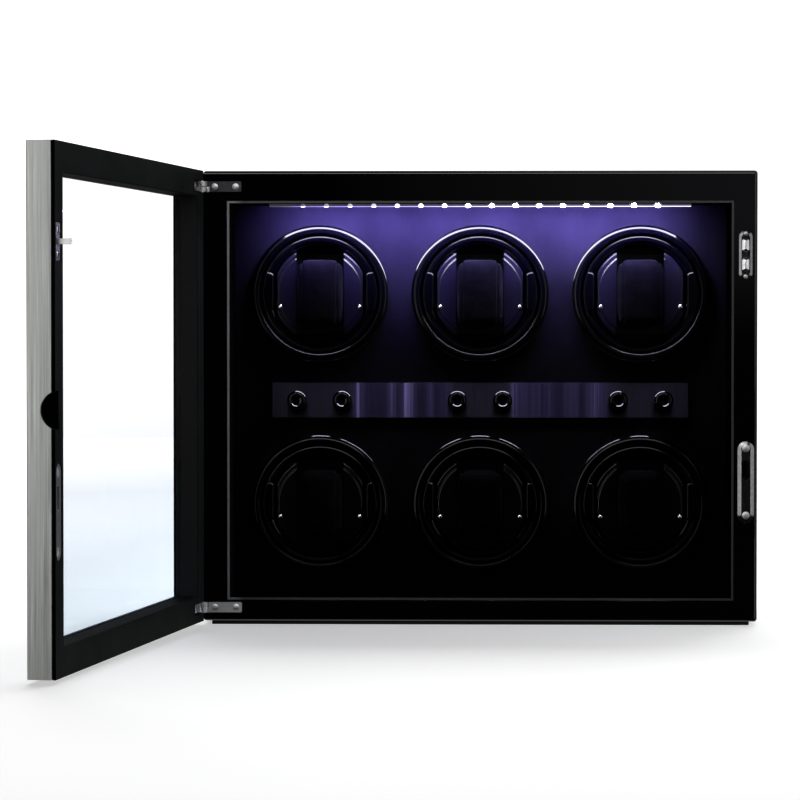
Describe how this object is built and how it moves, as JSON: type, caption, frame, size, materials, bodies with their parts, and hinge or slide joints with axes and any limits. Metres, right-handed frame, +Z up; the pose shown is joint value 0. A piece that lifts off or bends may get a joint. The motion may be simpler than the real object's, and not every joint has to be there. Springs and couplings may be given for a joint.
{
  "type": "watch winder box",
  "caption": "Gloss black watch winder cabinet with a hinged glass door, motor-driven rotors holding pull-out cushions, a knob strip and an LED bar.",
  "frame": {"origin": "centre of the cabinet's footprint, on the plane that it stands on", "axes": "+X to the right as seen from the front, -Y out of the open front, +Z up"},
  "size_m": [0.497, 0.5976, 0.3448],
  "materials": {
    "gloss_black_lacquer": "high gloss black lacquer on fibreboard",
    "satin_black": "satin black painted fibreboard",
    "liner_grey": "dark sheet with a pale cut front edge",
    "facia_cloth": "short-nap dark cloth",
    "dark_brushed_metal": "dark brushed",
    "led_strip": "white strip with a row of lit dots",
    "pad_rubber": "matt",
    "brushed_grey_metal": "brushed grey",
    "clear_glass": "clear",
    "chrome": "polished nickel",
    "motor_steel": "plated steel",
    "jack_plastic": "moulded",
    "fibreboard": "bare board",
    "circuit_board": "solder mask",
    "rotor_gloss_black": "moulded gloss black",
    "cushion_suede": "short-nap suede"
  },
  "bodies": {
    "case": {"cabinet_case": "gloss_black_lacquer", "back_panel": "satin_black", "base_pad": "pad_rubber", "interior_liner": "liner_grey", "facia_panel": "facia_cloth", "motor_board": "fibreboard", "control_strip": "dark_brushed_metal", "control_board": "circuit_board", "led_bar": "led_strip", "dc_jack": "jack_plastic", "bezel_ring_upper_left": "rotor_gloss_black", "bezel_ring_upper_centre": "rotor_gloss_black", "bezel_ring_upper_right": "rotor_gloss_black", "bezel_ring_lower_left": "rotor_gloss_black", "bezel_ring_lower_centre": "rotor_gloss_black", "bezel_ring_lower_right": "rotor_gloss_black", "gearmotor_upper_left": "motor_steel", "gearmotor_upper_centre": "motor_steel", "gearmotor_upper_right": "motor_steel", "gearmotor_lower_left": "motor_steel", "gearmotor_lower_centre": "motor_steel", "gearmotor_lower_right": "motor_steel", "hinge_upper_case_leaf": "chrome", "hinge_lower_case_leaf": "chrome", "catch_body": "chrome", "lock_strike_plate": "chrome"},
    "door": {"door_frame": "brushed_grey_metal", "door_lining": "satin_black", "door_glass": "clear_glass", "hinge_upper_door_leaf": "chrome", "hinge_lower_door_leaf": "chrome", "catch_tongue": "chrome", "lock_case": "chrome"},
    "lock_hook": {"lock_hook": "motor_steel"},
    "catch_jaw_upper": {"catch_jaw_upper": "chrome"},
    "catch_jaw_lower": {"catch_jaw_lower": "chrome"},
    "rotor_upper_left": {"rotor_cup_upper_left": "rotor_gloss_black"},
    "holder_upper_left": {"watch_holder_upper_left": "rotor_gloss_black", "watch_cushion_upper_left": "cushion_suede"},
    "rotor_upper_centre": {"rotor_cup_upper_centre": "rotor_gloss_black"},
    "holder_upper_centre": {"watch_holder_upper_centre": "rotor_gloss_black", "watch_cushion_upper_centre": "cushion_suede"},
    "rotor_upper_right": {"rotor_cup_upper_right": "rotor_gloss_black"},
    "holder_upper_right": {"watch_holder_upper_right": "rotor_gloss_black", "watch_cushion_upper_right": "cushion_suede"},
    "rotor_lower_left": {"rotor_cup_lower_left": "rotor_gloss_black"},
    "holder_lower_left": {"watch_holder_lower_left": "rotor_gloss_black", "watch_cushion_lower_left": "cushion_suede"},
    "rotor_lower_centre": {"rotor_cup_lower_centre": "rotor_gloss_black"},
    "holder_lower_centre": {"watch_holder_lower_centre": "rotor_gloss_black", "watch_cushion_lower_centre": "cushion_suede"},
    "rotor_lower_right": {"rotor_cup_lower_right": "rotor_gloss_black"},
    "holder_lower_right": {"watch_holder_lower_right": "rotor_gloss_black", "watch_cushion_lower_right": "cushion_suede"},
    "knob_upper_left": {"program_knob_upper_left": "rotor_gloss_black"},
    "knob_lower_left": {"program_knob_lower_left": "rotor_gloss_black"},
    "knob_upper_centre": {"program_knob_upper_centre": "rotor_gloss_black"},
    "knob_lower_centre": {"program_knob_lower_centre": "rotor_gloss_black"},
    "knob_upper_right": {"program_knob_upper_right": "rotor_gloss_black"},
    "knob_lower_right": {"program_knob_lower_right": "rotor_gloss_black"}
  },
  "joints": [
    {"name": "door_hinge", "type": "hinge", "parent": "case", "child": "door", "pos_m": [-0.21, -0.09025, 0.1738], "axis": [0, 0, -1], "range_deg": [-98, 12]},
    {"name": "lock_hook_turn", "type": "hinge", "parent": "door", "child": "lock_hook", "pos_m": [-0.27393, -0.49661, 0.1138], "axis": [0.1392, 0.9903, 0], "range_deg": [0, 90]},
    {"name": "catch_jaw_upper_slide", "type": "slide", "parent": "case", "child": "catch_jaw_upper", "axis": [0, 0, 1], "range_m": [0, 0.0008], "stiffness_N_per_m": 400},
    {"name": "catch_jaw_lower_slide", "type": "slide", "parent": "case", "child": "catch_jaw_lower", "axis": [0, 0, -1], "range_m": [0, 0.0008], "stiffness_N_per_m": 400},
    {"name": "rotor_upper_left_spin", "type": "hinge", "parent": "case", "child": "rotor_upper_left", "pos_m": [-0.124, -0.02, 0.252], "axis": [0, 1, 0], "continuous": true},
    {"name": "holder_upper_left_pull", "type": "slide", "parent": "rotor_upper_left", "child": "holder_upper_left", "axis": [0, -1, 0], "range_m": [0, 0.08]},
    {"name": "rotor_upper_centre_spin", "type": "hinge", "parent": "case", "child": "rotor_upper_centre", "pos_m": [0, -0.02, 0.252], "axis": [0, 1, 0], "continuous": true},
    {"name": "holder_upper_centre_pull", "type": "slide", "parent": "rotor_upper_centre", "child": "holder_upper_centre", "axis": [0, -1, 0], "range_m": [0, 0.08]},
    {"name": "rotor_upper_right_spin", "type": "hinge", "parent": "case", "child": "rotor_upper_right", "pos_m": [0.124, -0.02, 0.252], "axis": [0, 1, 0], "continuous": true},
    {"name": "holder_upper_right_pull", "type": "slide", "parent": "rotor_upper_right", "child": "holder_upper_right", "axis": [0, -1, 0], "range_m": [0, 0.08]},
    {"name": "rotor_lower_left_spin", "type": "hinge", "parent": "case", "child": "rotor_lower_left", "pos_m": [-0.124, -0.02, 0.0893], "axis": [0, 1, 0], "continuous": true},
    {"name": "holder_lower_left_pull", "type": "slide", "parent": "rotor_lower_left", "child": "holder_lower_left", "axis": [0, -1, 0], "range_m": [0, 0.08]},
    {"name": "rotor_lower_centre_spin", "type": "hinge", "parent": "case", "child": "rotor_lower_centre", "pos_m": [0, -0.02, 0.0893], "axis": [0, 1, 0], "continuous": true},
    {"name": "holder_lower_centre_pull", "type": "slide", "parent": "rotor_lower_centre", "child": "holder_lower_centre", "axis": [0, -1, 0], "range_m": [0, 0.08]},
    {"name": "rotor_lower_right_spin", "type": "hinge", "parent": "case", "child": "rotor_lower_right", "pos_m": [0.124, -0.02, 0.0893], "axis": [0, 1, 0], "continuous": true},
    {"name": "holder_lower_right_pull", "type": "slide", "parent": "rotor_lower_right", "child": "holder_lower_right", "axis": [0, -1, 0], "range_m": [0, 0.08]},
    {"name": "knob_upper_left_turn", "type": "hinge", "parent": "case", "child": "knob_upper_left", "pos_m": [-0.1415, -0.044, 0.1696], "axis": [0, 1, 0], "range_deg": [0, 240]},
    {"name": "knob_lower_left_turn", "type": "hinge", "parent": "case", "child": "knob_lower_left", "pos_m": [-0.1065, -0.044, 0.1696], "axis": [0, 1, 0], "range_deg": [0, 240]},
    {"name": "knob_upper_centre_turn", "type": "hinge", "parent": "case", "child": "knob_upper_centre", "pos_m": [-0.0175, -0.044, 0.1696], "axis": [0, 1, 0], "range_deg": [0, 240]},
    {"name": "knob_lower_centre_turn", "type": "hinge", "parent": "case", "child": "knob_lower_centre", "pos_m": [0.0175, -0.044, 0.1696], "axis": [0, 1, 0], "range_deg": [0, 240]},
    {"name": "knob_upper_right_turn", "type": "hinge", "parent": "case", "child": "knob_upper_right", "pos_m": [0.1065, -0.044, 0.1696], "axis": [0, 1, 0], "range_deg": [0, 240]},
    {"name": "knob_lower_right_turn", "type": "hinge", "parent": "case", "child": "knob_lower_right", "pos_m": [0.1415, -0.044, 0.1696], "axis": [0, 1, 0], "range_deg": [0, 240]}
  ]
}
